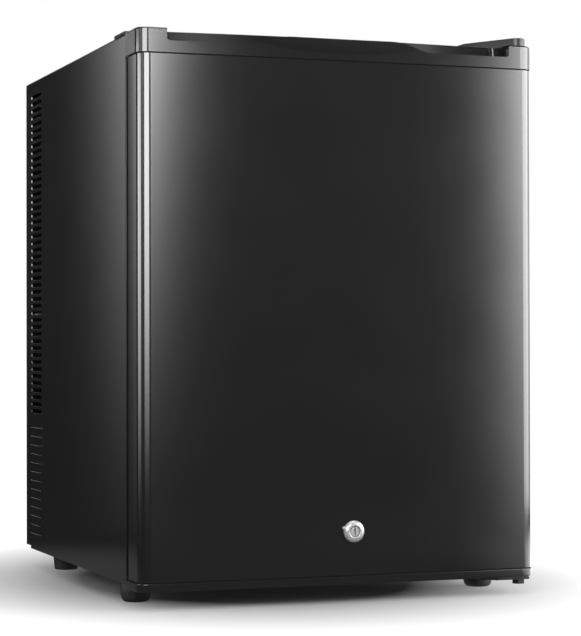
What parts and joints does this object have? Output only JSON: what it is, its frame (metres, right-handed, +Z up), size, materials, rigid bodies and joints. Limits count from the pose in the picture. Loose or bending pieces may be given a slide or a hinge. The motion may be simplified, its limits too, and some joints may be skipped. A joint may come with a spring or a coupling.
{
  "type": "bar fridge",
  "caption": "Low black hotel minibar with a hinged, lockable door, finger-pull top edge, side vents, wire shelves, door bins and a thermoelectric cooling unit.",
  "frame": {"origin": "on the floor under the middle of the fridge's overall box", "axes": "+Z up, the door faces -Y, its hinge is on the +X side"},
  "size_m": [0.403, 0.4608, 0.5444],
  "materials": {
    "painted_steel_black": "satin",
    "bracket_steel_black": "satin",
    "galvanised_steel": "satin",
    "screw_steel": "satin",
    "black_abs": "satin",
    "fan_plastic": "satin",
    "white_acetal": "satin",
    "black_rubber": "matte",
    "liner_plastic": "gloss",
    "insulation_foam": "matte",
    "seal_vinyl": "matte",
    "circuit_board": "satin",
    "coated_wire": "gloss",
    "clear_bin_plastic": "gloss",
    "bare_aluminium": "satin",
    "module_ceramic": "matte",
    "clear_lens": "gloss",
    "lock_chrome": "polished"
  },
  "bodies": {
    "cabinet": {"outer_wrapper": "painted_steel_black", "base_pan": "galvanised_steel", "bulkhead": "galvanised_steel", "lock_keeper": "galvanised_steel", "top_hinge_bracket": "galvanised_steel", "bottom_hinge_bracket": "bracket_steel_black", "top_hinge_pin": "galvanised_steel", "bottom_hinge_pin": "bracket_steel_black", "hinge_screws": "screw_steel", "rear_cover_screws": "screw_steel", "hinge_cover": "black_abs", "blank_hinge_cover": "black_abs", "rear_cover": "black_abs", "front_frame": "black_abs", "foot_sockets": "white_acetal", "rear_feet": "black_rubber", "inner_liner": "liner_plastic", "cabinet_foam": "insulation_foam", "reed_switch": "circuit_board", "upper_shelf": "coated_wire", "lower_shelf": "coated_wire", "cold_heatsink": "bare_aluminium", "cooling_block": "bare_aluminium", "hot_heatsink": "bare_aluminium", "peltier_module": "module_ceramic", "cold_duct_cover": "liner_plastic", "control_housing": "liner_plastic", "drip_channel": "liner_plastic", "evaporation_tray": "black_abs", "drain_tube": "clear_bin_plastic", "cold_fan_frame": "fan_plastic", "hot_fan_frame": "fan_plastic", "power_supply": "galvanised_steel", "control_board": "circuit_board", "mains_inlet": "fan_plastic", "lamp_lens": "clear_lens", "lamp_board": "circuit_board"},
    "door": {"door_panel": "painted_steel_black", "door_foam": "insulation_foam", "door_liner": "liner_plastic", "door_gasket": "seal_vinyl", "door_top_cap": "black_abs", "door_bottom_cap": "black_abs", "top_hinge_bush": "white_acetal", "bottom_hinge_bush": "black_abs", "hinge_hole_plugs": "black_abs", "lower_door_bin": "clear_bin_plastic", "upper_door_bin": "clear_bin_plastic", "switch_magnet": "bracket_steel_black", "lock_barrel": "lock_chrome", "lock_nut": "screw_steel"},
    "lock_plug": {"lock_plug": "lock_chrome", "lock_cam": "screw_steel", "cam_screw": "screw_steel"},
    "hot_fan_rotor": {"hot_fan_rotor": "fan_plastic"},
    "cold_fan_rotor": {"cold_fan_rotor": "fan_plastic"},
    "thermostat_knob": {"thermostat_knob": "liner_plastic"},
    "front_foot_left": {"front_foot_left": "black_rubber"},
    "front_foot_right": {"front_foot_right": "black_rubber"}
  },
  "joints": [
    {"name": "door_hinge", "type": "hinge", "parent": "cabinet", "child": "door", "pos_m": [0.19, -0.21035, 0.28], "axis": [0, 0, 1], "range_deg": [0, 115]},
    {"name": "lock_turn", "type": "hinge", "parent": "door", "child": "lock_plug", "pos_m": [0.01, -0.2, 0.0674], "axis": [0, 1, 0], "range_deg": [0, 90]},
    {"name": "thermostat_turn", "type": "hinge", "parent": "cabinet", "child": "thermostat_knob", "pos_m": [0.038, 0.06, 0.4835], "axis": [0, -1, 0], "range_deg": [0, 270]},
    {"name": "hot_fan_spin", "type": "hinge", "parent": "cabinet", "child": "hot_fan_rotor", "pos_m": [0, 0.203, 0.3], "axis": [0, 1, 0], "continuous": true},
    {"name": "cold_fan_spin", "type": "hinge", "parent": "cabinet", "child": "cold_fan_rotor", "pos_m": [0, 0.085, 0.3], "axis": [0, 1, 0], "continuous": true},
    {"name": "foot_left_turn", "type": "hinge", "parent": "cabinet", "child": "front_foot_left", "pos_m": [-0.179, -0.13935, 0.01], "axis": [0, 0, 1], "continuous": true},
    {"name": "foot_right_turn", "type": "hinge", "parent": "cabinet", "child": "front_foot_right", "pos_m": [0.179, -0.13935, 0.01], "axis": [0, 0, 1], "continuous": true}
  ]
}
